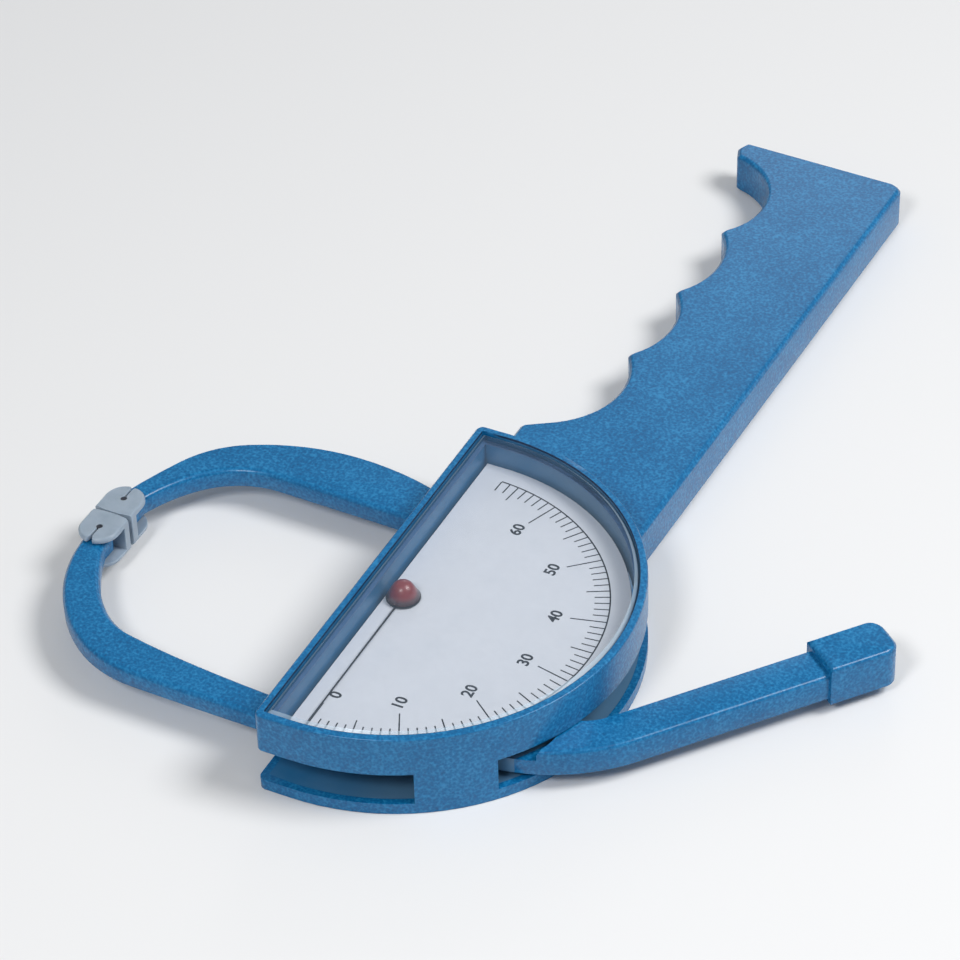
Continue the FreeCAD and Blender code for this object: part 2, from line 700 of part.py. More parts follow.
def thumb_bar():
    """The thumb bar, which bends out of the foot of the hub and runs straight to its pad."""
    hub = S.hub_radius
    along = S.bar_angle
    normal = along - 90
    inner_foot = polar(S.bar_offset, normal, PIVOT)
    outer_foot = polar(S.bar_offset + S.bar_width, normal, PIVOT)
    bar_end = BAR_LENGTH - 2

    # the outer edge leaves the foot of the hub level and bends up into the bar
    hub_foot = (PIVOT[0], PIVOT[1] - hub)
    to_corner = (hub_foot[1] - outer_foot[1]) / math.sin(math.radians(along))
    run = polar(to_corner, along, outer_foot)[0] - hub_foot[0]
    bend = run / math.tan(math.radians(along / 2))
    bend_middle = polar(bend, -90 + along / 2, (hub_foot[0], hub_foot[1] + bend))
    bend_end = polar(to_corner + run, along, outer_foot)

    # the inner edge runs into the hub through a hollow round
    hollow = S.bar_hollow
    off = S.bar_offset - hollow
    up = math.sqrt((hub + hollow) ** 2 - off ** 2)
    centre = polar(up, along, polar(off, normal, PIVOT))
    hollow_end = polar(hollow, normal, centre)
    hub_touch = polar(hub, bearing(PIVOT, centre), PIVOT)
    hollow_middle = polar(hollow, (bearing(centre, hub_touch) % 360 + normal % 360) / 2, centre)

    end_outer = polar(bar_end, along, outer_foot)
    end_inner = polar(bar_end, along, inner_foot)
    made = body("thumb_bar")
    outline = sketch(made, "thumb_bar_outline", "size.lever_base")
    draw(outline, [
        arc(hub_foot, bend_middle, bend_end),
        line(bend_end, end_outer),
        line(end_outer, end_inner),
        line(end_inner, hollow_end),
        arc(hollow_end, hollow_middle, hub_touch),
        line(hub_touch, PIVOT),
        line(PIVOT, hub_foot),
    ])
    block = pad(made, outline, "size.lever_top - size.lever_base")
    doc.recompute()
    ends = [halfway(end_outer, end_inner), halfway(hub_touch, PIVOT), halfway(PIVOT, hub_foot)]
    bevel(made, block, level_edges(block, [S.lever_base, S.lever_top], ends), "size.arm_edge")
    return made


def thumb_pad():
    """The thicker pad at the end of the thumb bar."""
    along = S.bar_angle
    far = S.pad_length
    wide = S.bar_width + 2 * S.pad_proud
    corner = S.pad_corner
    cut_in = corner * (1 - math.sqrt(0.5))
    base = S.lever_base - S.pad_rise + 0.8
    made = body("thumb_pad")
    outline = sketch(made, "pad_outline")
    draw(outline, [
        line((0, 0), (far - corner, 0)),
        arc((far - corner, 0), (far - cut_in, -cut_in), (far, -corner)),
        line((far, -corner), (far, corner - wide)),
        arc((far, corner - wide), (far - cut_in, cut_in - wide), (far - corner, -wide)),
        line((far - corner, -wide), (0, -wide)),
        line((0, -wide), (0, 0)),
    ])
    block = pad(made, outline, f"size.lever_top + size.pad_rise - {base}")
    doc.recompute()
    top = S.lever_top + S.pad_rise - base
    bevel(made, block, level_edges(block, [0, top]), "size.arm_edge")
    start = polar(BAR_LENGTH - far, along, polar(S.bar_offset - S.pad_proud, along - 90, PIVOT))
    made.Placement = Placement(Vector(*start, base), Rotation(Vector(0, 0, 1), along))
    return made


def jaw_lever():
    pivot = ("size.pivot_x", "size.pivot_y")
    hub_height = "size.hub_top - size.lever_base"
    hub = cylinder("lever_hub", "size.hub_radius", hub_height, "size.lever_base", *pivot)
    gear_room = "size.module * size.sector_teeth / 2 + 1.6"
    over_hub = cylinder("hub_pocket", gear_room, "6", "size.hub_top", *pivot)
    blank = fuse("lever_blank", moving_arm(), arm_root(), hub, thumb_bar(), thumb_pad())
    relieved = cut("lever_relieved", blank, over_hub)
    solid = fuse("lever_solid", relieved, horn_arm(), tongue("moving_tongue", -1, "lever_top"))
    holes = [
        pin_hole("moving_pin_hole", -1),
        cylinder("bush_hole", "size.bush_radius", "20", "-2", *pivot),
        cylinder("horn_hole", "size.post_radius", "20", "-2", str(HORN[0]), str(HORN[1])),
    ]
    tap = "size.sector_screw_length + size.bottom_gap - size.gear_thick"
    for k, (x, y) in enumerate(SECTOR_SCREWS):
        holes.append(cylinder(f"sector_tap_{k}", "size.sector_screw", f"{tap} + 1",
                              f"size.gear_level - ({tap})", str(x), str(y)))
    return cut("jaw_lever", solid, fuse("lever_holes", *holes))


def horn_arm():
    """A short ear on the hub that carries the return spring's post."""
    made = body("horn_arm")
    outline = sketch(made, "horn_outline", "size.hub_top - size.horn_thick")
    side = S.horn_angle + 90
    root = polar(S.hub_radius - 3.3, S.horn_angle, PIVOT)
    root_left = polar(S.post_radius + 2.7, side, root)
    root_right = polar(-S.post_radius - 2.7, side, root)
    ear = S.post_radius + 1.5
    tip_left = polar(ear, side, HORN)
    tip_right = polar(-ear, side, HORN)
    draw(outline, [
        line(root_right, tip_right),
        arc(tip_right, polar(ear, S.horn_angle, HORN), tip_left),
        line(tip_left, root_left),
        line(root_left, root_right),
    ])
    pad(made, outline, "size.horn_thick")
    return made


# ---------------------------------------------------------------- jaw tips

def jaw_tip(name, side):
    """A snap-on tip: two cheeks over the arm's end, and a crowned face for the fold of skin.

    side is +1 for the tip of the fixed arm and -1 for the other."""
    half = S.tip_width / 2
    face = -(PIN_Y - S.jaw_gap / 2)
    drop = S.tip_crown - math.sqrt(S.tip_crown ** 2 - half ** 2)
    made = body(name + "_body")
    outline = sketch(made, name + "_outline")
    draw(outline, [
        arc((-half, face + drop), (0, face), (half, face + drop)),
        line((half, face + drop), (half, 0)),
        arc((half, 0), (0, half), (-half, 0)),
        line((-half, 0), (-half, face + drop)),
    ])
    block = pad(made, outline, "size.tip_height")
    doc.recompute()
    bevel(made, block, level_edges(block, [0, S.tip_height], [(0, face)]), "size.tip_edge")

    slot_base = (S.tip_height - S.tip_slot) / 2
    slot_floor = S.tongue_nose + S.tip_room
    slot = doc.addObject("Part::Box", name + "_slot")
    slot.Length = S.tip_width + 4
    slot.Width = slot_floor + half + 2
    slot.Height = S.tip_slot
    slot.Placement = Placement(Vector(-half - 2, -slot_floor, slot_base), Rotation())
    bore = cylinder(name + "_bore", "size.tip_pin_radius + size.running_gap", "size.tip_height + 2", "-1")
    split = box(name + "_split", "size.tip_split", "size.tip_width", "size.tip_height + 2",
                "-size.tip_split / 2", "0", "-1")
    mouth = doc.addObject("Part::Wedge", name + "_mouth")
    mouth.Xmin = -S.tip_split / 2
    mouth.Xmax = S.tip_split / 2
    mouth.X2min = -S.tip_mouth / 2
    mouth.X2max = S.tip_mouth / 2
    mouth.Ymin = 0
    mouth.Ymax = S.tip_notch + 0.3
    mouth.Zmin = mouth.Z2min = -1
    mouth.Zmax = mouth.Z2max = S.tip_height + 1
    mouth.Placement = Placement(Vector(0, half - S.tip_notch, 0), Rotation())
    made = cut(name, made, fuse(name + "_cuts", slot, bore, split, mouth))
    spin = 0 if side > 0 else 180
    made.Placement = Placement(Vector(JAW_X, side * PIN_Y, S.tip_base), Rotation(Vector(0, 0, 1), spin))
    return made


def tip_pin(name, side):
    """A pin pressed in the arm's end; the tip's cheeks turn on its ends."""
    made = cylinder(name, "size.tip_pin_radius", "size.tip_height - 0.3", "size.tip_base + 0.15",
                    "-size.jaw_reach", f"{side} * size.tip_pin_offset")
    made.Label = name
    return made


# ---------------------------------------------------------------- the pivot

def pivot_screw():
    """A slotted shoulder screw, sunk in the back; its shank carries the lever's bush."""
    top = "size.head_sink + size.head_height"
    head = cylinder("pivot_head", "size.head_radius", "size.head_height", "size.head_sink")
    shank = cylinder("pivot_shank", "size.shank_radius", f"size.hub_top + size.joint_sink - ({top})", top)
    thread = cylinder("pivot_thread", "size.thread_radius", "size.nut_height + 0.6", "size.hub_top")
    solid = fuse("pivot_solid", head, shank, thread)
    slot = box("pivot_slot", "3 * size.head_radius", "1.0", "0.8", "-1.5 * size.head_radius", "-0.5",
               "size.head_sink - 0.2")
    made = cut("pivot_screw", solid, slot)
    place(made, "size.pivot_x", "size.pivot_y")
    return made


def pivot_nut():
    blank = doc.addObject("Part::Prism", "nut_blank")
    blank.Polygon = 6
    blank.setExpression("Circumradius", "size.nut_radius")
    blank.setExpression("Height", "size.nut_height")
    made = cut("pivot_nut", blank, cylinder("nut_thread", "size.thread_radius", "9", "-1"))
    place(made, "size.pivot_x", "size.pivot_y", "size.hub_top + size.joint_sink + 0.05")
    return made


def ring(name, outer, inner, height, x, y, z):
    made = body(name)
    outline = sketch(made, name + "_outline")
    circle(outline, outer, start=3.0)
    circle(outline, inner, start=1.0)
    pad(made, outline, height)
    place(made, x, y, z)
    return made


# ---------------------------------------------------------------- gears

def flank(teeth, radius):
    """Half the angle, in degrees, that an involute tooth fills at a radius."""
    pressure = math.radians(20)
    pitch = S.module * teeth / 2
    base = pitch * math.cos(pressure)
    angle = math.acos(min(1.0, base / radius)) if radius > base else 0.0
    half = math.pi / 2 / teeth - S.backlash / (4 * pitch)
    return math.degrees(half + math.tan(pressure) - pressure - math.tan(angle) + angle)


def tooth_outline(teeth, direction):
    """One involute tooth that points in a direction, rooted a little inside the blank."""
    pitch = S.module * teeth / 2
    root = pitch - 1.15 * S.module
    tip = pitch + 0.9 * S.module
    base = max(root, pitch * math.cos(math.radians(20)))
    stations = [base + (tip - base) * k / 2 for k in range(3)]
    right = [polar(root - 0.2, direction - flank(teeth, root))]
    right += [polar(r, direction - flank(teeth, r)) for r in stations]
    left = [polar(r, direction + flank(teeth, r)) for r in stations[::-1]]
    left += [polar(root - 0.2, direction + flank(teeth, root))]
    corners = right + left
    return [line(a, b) for a, b in zip(corners, corners[1:] + corners[:1])]


def toothed(made, teeth, direction, count, sweep):
    """Adds one tooth to a gear's blank and repeats it round the axis."""
    profile = sketch(made, made.Name + "_tooth")
    draw(profile, tooth_outline(teeth, direction))
    tooth = pad(made, profile, "size.gear_thick")
    doc.recompute()
    pattern = made.newObject("PartDesign::PolarPattern", made.Name + "_teeth")
    pattern.Originals = [tooth]
    axis = [part for part in made.Origin.OriginFeatures if part.Role == "Z_Axis"][0]
    pattern.Axis = (axis, [""])
    pattern.Angle = sweep
    pattern.Occurrences = count
    made.Tip = pattern
    doc.recompute()
    return pattern


def full_gear(name, teeth, direction, bore):
    made = body(name)
    blank = sketch(made, name + "_blank")
    circle(blank, f"size.module * (size.{teeth} / 2 - 1.15)", start=3.0)
    pad(made, blank, "size.gear_thick")
    count = int(size[teeth])
    toothed(made, count, direction, count, 360)
    hole = sketch(made, name + "_hole", "size.gear_thick")
    circle(hole, bore, start=1.0)
    pocket(made, hole, "size.gear_thick")
    return made


def sector_gear():
    """A fan of teeth on a ring that is screwed to the lever's hub."""
    made = body("sector_gear")
    root = SECTOR_RADIUS - 1.15 * S.module
    step = 360 / S.sector_teeth
    behind = math.ceil((S.lever_travel + 10) / step)
    ahead = 2
    count = behind + ahead + 1
    last = SECTOR_TOOTH + ahead * step
    first = SECTOR_TOOTH - behind * step
    low = first - 0.6 * step
    high = last + 0.6 * step
    middle = (low + high) / 2
    fan = sketch(made, "sector_fan")
    ring_edge = S.ring_radius - 0.6
    draw(fan, [
        line(polar(ring_edge, low - 12), polar(root, low)),
        arc(polar(root, low), polar(root, middle), polar(root, high)),
        line(polar(root, high), polar(ring_edge, high + 12)),
        arc(polar(ring_edge, high + 12), polar(ring_edge, middle + 180), polar(ring_edge, low - 12)),
    ])
    pad(made, fan, "size.gear_thick")
    toothed(made, S.sector_teeth, first, count, (count - 1) * step)
    holes = sketch(made, "sector_holes", "size.gear_thick")
    circle(holes, "size.ring_bore", start=2.0)
    for x, y in SECTOR_SCREWS:
        circle(holes, "size.sector_screw + 0.05", str(x - PIVOT[0]), str(y - PIVOT[1]))
    pocket(made, holes, "size.gear_thick")
    place(made, "size.pivot_x", "size.pivot_y", "size.gear_level")
    return made


def screws(name, places, shank, length, level, head, head_height):
    """A group of identical slotted pan-head screws, whose heads sit on a level."""
    made = []
    for k, (x, y) in enumerate(places):
        body_piece = cylinder(f"{name}_shank_{k}", shank, f"{length} + 0.2", f"-{length}")
        head_piece = cylinder(f"{name}_head_{k}", head, head_height)
        solid = fuse(f"{name}_solid_{k}", body_piece, head_piece)
        slot = box(f"{name}_slot_{k}", f"3 * ({head})", "0.4", head_height,
                   f"-1.5 * ({head})", "-0.2", f"({head_height}) * 0.45")
        screw = cut(f"{name}_{k}", solid, slot)
        place(screw, str(x), str(y), level)
        made.append(screw)
    group = doc.addObject("Part::Compound", name)
    group.Label = name
    group.Links = made
    return group


# ---------------------------------------------------------------- needle and staff

def needle_staff():
    """The needle's staff, with pivots that turn in the two bushes."""
    shoulder = S.staff_seat + 2.1
    low = cylinder("staff_low", "size.staff_foot", "2.0", "size.staff_seat + 0.2")
    shaft = cylinder("staff_shaft", "size.staff_radius", f"size.needle_level - {shoulder}", str(shoulder))
    high = cylinder("staff_high", "size.staff_head", "1.6", "size.needle_level - 0.1")
    return fuse("needle_staff", low, shaft, high)


def needle():
    made = body("needle")
    outline = sketch(made, "needle_outline", "size.needle_level")
    half = S.needle_width / 2
    boss = S.needle_hub
    lean = math.degrees(math.asin(half / boss))
    length = HOUSING_INSIDE - S.needle_gap
    narrow = half * 0.55
    shoulder = 1.2 - length
    draw(outline, [
        line(polar(boss, -90 + lean), (narrow, shoulder)),
        line((narrow, shoulder), (0, -length)),
        line((0, -length), (-narrow, shoulder)),
        line((-narrow, shoulder), polar(boss, -90 - lean)),
        arc(polar(boss, -90 - lean), (0, boss), polar(boss, -90 + lean)),
    ])
    circle(outline, "size.staff_head", start=0.5)
    pad(made, outline, "size.needle_thick")
    return made


def needle_cap():
    """The cap on the needle's hub: a flared foot that runs into a round top."""
    slant = math.hypot(S.cap_radius, S.cap_rise)
    side = math.sqrt(slant ** 2 - S.cap_crown ** 2)
    lean = math.atan2(S.cap_rise, S.cap_radius) + math.asin(S.cap_crown / slant)
    foot = doc.addObject("Part::Cone", "cap_foot")
    foot.setExpression("Radius1", "size.cap_radius")
    foot.Radius2 = S.cap_radius - side * math.cos(lean)
    foot.Height = side * math.sin(lean)
    dome = doc.addObject("Part::Sphere", "cap_dome")
    dome.setExpression("Radius", "size.cap_crown")
    dome.Angle1 = 0
    place(dome, z="size.cap_rise")
    bore = cylinder("cap_bore", "size.staff_head", "2.4", "-1")
    made = cut("needle_cap", fuse("cap_solid", foot, dome), bore)
    place(made, "0", "0", "size.needle_level + size.needle_thick + 0.02")
    return made


# ---------------------------------------------------------------- springs

def hair_arcs(offset):
    """Half circles, each wider than the last, that follow one side of the strip."""
    path = []
    centre = 0.0
    for k in range(int(2 * S.hair_turns)):
        radius = S.collet_radius + 0.1 + S.hair_pitch * k / 2 + offset
        sign = 1 if k % 2 == 0 else -1
        path.append(((centre + sign * radius, 0), (centre, sign * radius), (centre - sign * radius, 0)))
        centre += sign * S.hair_pitch / 2
    return path


def hair_stud():
    """Where the stud stands: touching the end of the strip's last half circle."""
    start, middle, end = hair_arcs(0)[-1]
    away = -1 if middle[1] > 0 else 1
    return (end[0], away * (S.stud_radius + 0.02))


def hairspring():
    """A flat spiral strip, from the collet on the staff to a stud in the floor."""
    outer = hair_arcs(S.hair_thick / 2)
    inner = hair_arcs(-S.hair_thick / 2)
    made = body("hairspring")
    outline = sketch(made, "hair_outline", "size.hair_level")
    path = [arc(*piece) for piece in outer]
    path.append(line(outer[-1][2], inner[-1][2]))
    path += [arc(piece[2], piece[1], piece[0]) for piece in inner[::-1]]
    path.append(line(inner[0][0], outer[0][0]))
    draw(outline, path)
    pad(made, outline, "size.hair_height")
    return made


def return_spring():
    """The torsion spring that closes the jaws: one leg on the frame, one on the lever's post.

    The wire is drawn with six flats."""
    coil = (S.coil_x, S.coil_y)
    radius = S.coil_radius
    slope = S.coil_pitch / (2 * math.pi * radius)
    sweep = 360 * S.coil_turns

    # the lower leg leaves the coil as a tangent that lies against the lever's post
    reach = math.dist(coil, HORN)
    aside = radius - (S.post_radius + S.coil_wire / 2 + 0.15)
    start = bearing(coil, HORN) + math.degrees(math.acos(aside / reach)) - 360
    leg = math.sqrt(reach ** 2 - aside ** 2) + 1.8
    helix = Part.makeHelix(S.coil_pitch, S.coil_pitch * S.coil_turns, radius)
    helix.Placement = Placement(Vector(*coil, S.coil_base), Rotation(Vector(0, 0, 1), start))
    low = helix.Vertexes[0].Point
    high = helix.Vertexes[-1].Point
    down = heading(start - 90) - Vector(0, 0, slope)
    up = heading(start + sweep + 90) + Vector(0, 0, slope)
    low_end = low + down * leg
    high_end = high + up * S.coil_leg
    path = Part.Wire([Part.makeLine(low_end, low)] + helix.Edges + [Part.makeLine(high, high_end)])

    section = Part.makeCircle(S.coil_wire / 2, low_end, down)
    corners = section.discretize(7)
    made = doc.addObject("Part::Feature", "return_spring")
    made.Label = "return_spring"
    made.Shape = path.makePipeShell([Part.makePolygon(corners)], True, True)
    return made


# ---------------------------------------------------------------- plates, dial and lens

def d_plate(name, gap, thick, level, holes, edge="size.wall"):
    """A flat plate with the housing's outline, set in from its wall by a gap."""
    made = body(name)
    outline = sketch(made, name + "_outline", level)
    d_shape(outline, f"size.housing_radius - {edge} - {gap}", f"size.housing_flat - {edge} - {gap}")
    pad(made, outline, thick)
    if holes:
        drilled = sketch(made, name + "_holes", f"{level} + {thick}")
        for radius, x, y in holes:
            circle(drilled, radius, x, y)
        pocket(made, drilled, thick)
    return made


def movement_plate():
    holes = [("size.upper_bush", "0", "0"), ("size.arbor_radius", str(IDLER[0]), str(IDLER[1]))]
    holes += [("size.plate_screw + 0.1", str(x), str(y)) for x, y in PLATE_SCREWS]
    return d_plate("movement_plate", "size.plate_gap", "size.plate_thick", "size.plate_level", holes)


def dial_plate():
    holes = [("size.upper_bush + 0.3", "0", "0")]
    return d_plate("dial_plate", "size.dial_gap", "size.dial_thick",
                   "size.plate_level + size.plate_thick + size.dial_lift", holes)


def lens():
    level = "size.housing_depth - size.lens_proud - size.lens_thick"
    made = d_plate("lens", "size.lens_gap", "size.lens_thick", level, [], "size.rim_land")
    doc.recompute()
    top = S.housing_depth - S.lens_proud
    block = made.Tip
    bevel = made.newObject("PartDesign::Chamfer", "lens_bevelled")
    bevel.Base = (block, level_edges(block, [top]))
    bevel.setExpression("Size", "size.lens_bevel")
    return made


def lens_gasket():
    made = body("lens_gasket")
    level = "size.housing_depth - size.lens_proud - size.lens_thick - size.gasket_thick"
    outline = sketch(made, "gasket_outline", level)
    d_shape(outline, "size.housing_radius - size.rim_land - size.lens_gap",
            "size.housing_flat - size.rim_land - size.lens_gap")
    pad(made, outline, "size.gasket_thick")
    inside = sketch(made, "gasket_inside", level + " + size.gasket_thick")
    d_shape(inside, "size.housing_radius - size.rim_land - size.lens_gap - size.gasket_width",
            "size.housing_flat - size.rim_land - size.lens_gap - size.gasket_width")
    pocket(made, inside, "size.gasket_thick")
    return made


# ---------------------------------------------------------------- the whole assembly

def idler_arbor():
    """The idler turns on it; it stands in the floor and in the movement plate."""
    height = "size.plate_level + size.plate_thick - 0.1 - size.staff_seat"
    place_at = (str(IDLER[0]), str(IDLER[1]))
    return cylinder("idler_arbor", "size.arbor_radius", height, "size.staff_seat", *place_at)


def build():
    pivot = ("size.pivot_x", "size.pivot_y")
    axis = ("0", "0")
    nodes = [body_frame(), jaw_lever()]
    nodes += [jaw_tip("fixed_tip", +1), jaw_tip("moving_tip", -1)]
    nodes += [tip_pin("fixed_tip_pin", +1), tip_pin("moving_tip_pin", -1)]
    nodes += [pivot_screw(), pivot_nut()]
    bore = "size.shank_radius + size.running_gap"
    nodes.append(ring("pivot_bush", "size.bush_radius", bore, "size.hub_top - size.lever_base",
                      *pivot, "size.lever_base"))
    nodes.append(ring("thrust_washer", "size.bush_radius + 0.9", bore, "size.lever_base - size.floor",
                      *pivot, "size.floor"))
    nodes.append(sector_gear())
    nodes.append(screws("sector_screws", SECTOR_SCREWS, "size.sector_screw", "size.sector_screw_length",
                        "size.gear_level + size.gear_thick", "size.sector_screw + 0.5", "0.5"))
    idler = full_gear("idler_gear", "idler_teeth", IDLER_TOOTH, "size.arbor_radius + size.running_gap")
    place(idler, str(IDLER[0]), str(IDLER[1]), "size.gear_level")
    pinion = full_gear("needle_pinion", "pinion_teeth", PINION_TOOTH, "size.staff_radius")
    place(pinion, *axis, "size.gear_level")
    nodes += [idler, pinion, idler_arbor(), needle_staff(), needle(), needle_cap()]
    nodes.append(ring("staff_bush_lower", "size.lower_bush", "size.staff_foot + size.running_gap", "2.0",
                      *axis, "size.staff_seat"))
    nodes.append(ring("staff_bush_upper", "size.upper_bush", "size.staff_radius + size.running_gap",
                      "size.plate_thick", *axis, "size.plate_level"))
    nodes.append(ring("hairspring_collet", "size.collet_radius", "size.staff_radius",
                      "size.hair_height + 0.4", *axis, "size.hair_level - 0.2"))
    nodes.append(hairspring())
    nodes.append(cylinder("hairspring_stud", "size.stud_radius",
                          "size.hair_level + size.hair_height + 0.4 - size.staff_seat",
                          "size.staff_seat", str(HAIR_STUD[0]), str(HAIR_STUD[1])))
    nodes.append(return_spring())
    nodes.append(cylinder("lever_spring_post", "size.post_radius", "size.hub_top - size.lever_base - 0.1",
                          "size.lever_base + 0.1", str(HORN[0]), str(HORN[1])))
    nodes += [movement_plate(), dial_plate(), lens(), lens_gasket()]
    nodes.append(screws("plate_screws", PLATE_SCREWS, "size.plate_screw", "size.plate_screw_length",
                        "size.plate_level + size.plate_thick", "size.plate_screw + 0.8", "0.6"))
    return nodes


def check(nodes):
    """Stops if any object failed or any piece is empty or broken."""
    doc.recompute()
    for item in doc.Objects:
        if "Invalid" in item.State or "Error" in item.State:
            raise RuntimeError(f"{item.Name}: {item.State}")
    for node in nodes:
        if node.Shape.isNull() or not node.Shape.isValid() or not node.Shape.Solids:
            raise RuntimeError(f"{node.Label}: no valid solid")


HAIR_STUD = hair_stud()
nodes = build()
check(nodes)
os.makedirs("parts", exist_ok=True)
for node in nodes:
    node.Shape.exportStep(f"parts/{node.Label}.step")
    print(node.Label, len(node.Shape.Solids), round(node.Shape.Volume, 1))
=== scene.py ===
import json
import math

import bmesh
import bpy
from mathutils import Matrix, Vector


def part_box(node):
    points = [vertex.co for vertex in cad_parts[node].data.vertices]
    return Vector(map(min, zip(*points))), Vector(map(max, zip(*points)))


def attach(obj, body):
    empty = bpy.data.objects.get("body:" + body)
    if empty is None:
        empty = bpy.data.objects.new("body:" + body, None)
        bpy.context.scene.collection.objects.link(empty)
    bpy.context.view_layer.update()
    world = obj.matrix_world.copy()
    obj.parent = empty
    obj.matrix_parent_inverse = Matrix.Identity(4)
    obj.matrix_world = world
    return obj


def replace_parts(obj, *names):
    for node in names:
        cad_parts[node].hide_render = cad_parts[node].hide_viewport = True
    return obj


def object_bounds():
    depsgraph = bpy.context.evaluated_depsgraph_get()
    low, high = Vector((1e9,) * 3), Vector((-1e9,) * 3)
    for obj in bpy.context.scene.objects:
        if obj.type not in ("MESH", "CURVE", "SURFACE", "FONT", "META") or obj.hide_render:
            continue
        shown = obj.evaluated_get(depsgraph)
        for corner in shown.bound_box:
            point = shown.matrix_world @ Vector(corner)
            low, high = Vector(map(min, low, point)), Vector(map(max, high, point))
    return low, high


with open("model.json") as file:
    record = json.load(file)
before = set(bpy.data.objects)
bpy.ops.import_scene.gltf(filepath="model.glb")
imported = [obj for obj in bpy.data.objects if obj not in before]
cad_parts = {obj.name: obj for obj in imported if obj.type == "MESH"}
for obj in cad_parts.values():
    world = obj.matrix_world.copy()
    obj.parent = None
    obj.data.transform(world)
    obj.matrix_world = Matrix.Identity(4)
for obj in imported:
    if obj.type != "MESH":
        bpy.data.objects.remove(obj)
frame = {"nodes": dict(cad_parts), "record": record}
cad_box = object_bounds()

# A skinfold caliper: two blue enamelled castings, a dial under a clear lens and two snap-on tips.
# The frame's axes: Z out of the dial, Y along the handle, X towards the thumb. Lengths in metres.

MM = 0.001

# ---------------------------------------------------------------- places, read from the frame


def low(node):
    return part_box(node)[0]


def high(node):
    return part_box(node)[1]


def middle(node):
    return (low(node) + high(node)) / 2


DIAL_TOP = high("dial_plate").z
DIAL_RADIUS = high("dial_plate").x

# the seat that the lens lies in, which bounds the cup: round, with one flat side
LENS_TOP = high("lens").z
LENS_GAP = 0.35 * MM
SEAT_RADIUS = high("lens").x + LENS_GAP
SEAT_FLAT = low("lens").x - LENS_GAP

# the needle and its cap, round the axis at x = y = 0
HUB_RADIUS = high("needle").x
CAP_BASE = low("needle_cap").z
CAP_TOP = high("needle_cap").z
CAP_FOOT = high("needle_cap").x
CAP_CROWN = 2.4 * MM

# the printed scale, in millimetres of fold; the needle turns 50/12 times as far as the lever
SCALE_RADIUS = DIAL_RADIUS - 4.0 * MM
SCALE_START = math.radians(-90)
SCALE_LAST = 67
GEARING = 50 / 12
PIVOT = middle("pivot_screw")
JAW_REACH = math.hypot(middle("fixed_tip_pin").x - PIVOT.x, PIVOT.y)
PRINT = 0.02 * MM
ARC_WIDTH = 0.3 * MM
MARK_WIDTH = 0.26 * MM
SINGLE_LENGTH = 2.8 * MM
FIVE_LENGTH = 4.3 * MM
TEN_LENGTH = 6.8 * MM
NUMERAL_RADIUS = SCALE_RADIUS - 9.6 * MM
NUMERAL_HEIGHT = 3.2 * MM
NUMERAL_STROKE = 0.08 * MM
ZERO_SHIFT = 1.1 * MM


def needle_angle(fold):
    """Where the needle points when the jaws hold a fold of this many millimetres."""
    return SCALE_START + GEARING * 2 * math.asin(fold * MM / (2 * JAW_REACH))


# ---------------------------------------------------------------- shader maths

class Socket:
    """A value in a finish; sums and products of sockets add Math nodes."""

    def __init__(self, finish, output):
        self.finish = finish
        self.output = output

    def maths(self, operation, *values):
        return self.finish.node("Math", {"operation": operation}, dict(enumerate(values)))

    def __add__(self, other):
        return self.maths("ADD", self, other)

    def __sub__(self, other):
        return self.maths("SUBTRACT", self, other)

    def __rsub__(self, other):
        return self.maths("SUBTRACT", other, self)

    def __mul__(self, other):
        return self.maths("MULTIPLY", self, other)

    def __abs__(self):
        return self.maths("ABSOLUTE", self)

    __radd__ = __add__
    __rmul__ = __mul__

    def between(self, start, end):
        """0 at start and below, 1 at end and above, smooth between them."""
        settings = {"interpolation_type": "SMOOTHSTEP"}
        return self.finish.node("MapRange", settings, {0: self, 1: start, 2: end})

    def part(self, axis):
        """The X, Y or Z of a place or a direction."""
        return self.finish.node("SeparateXYZ", None, {0: self}, axis)


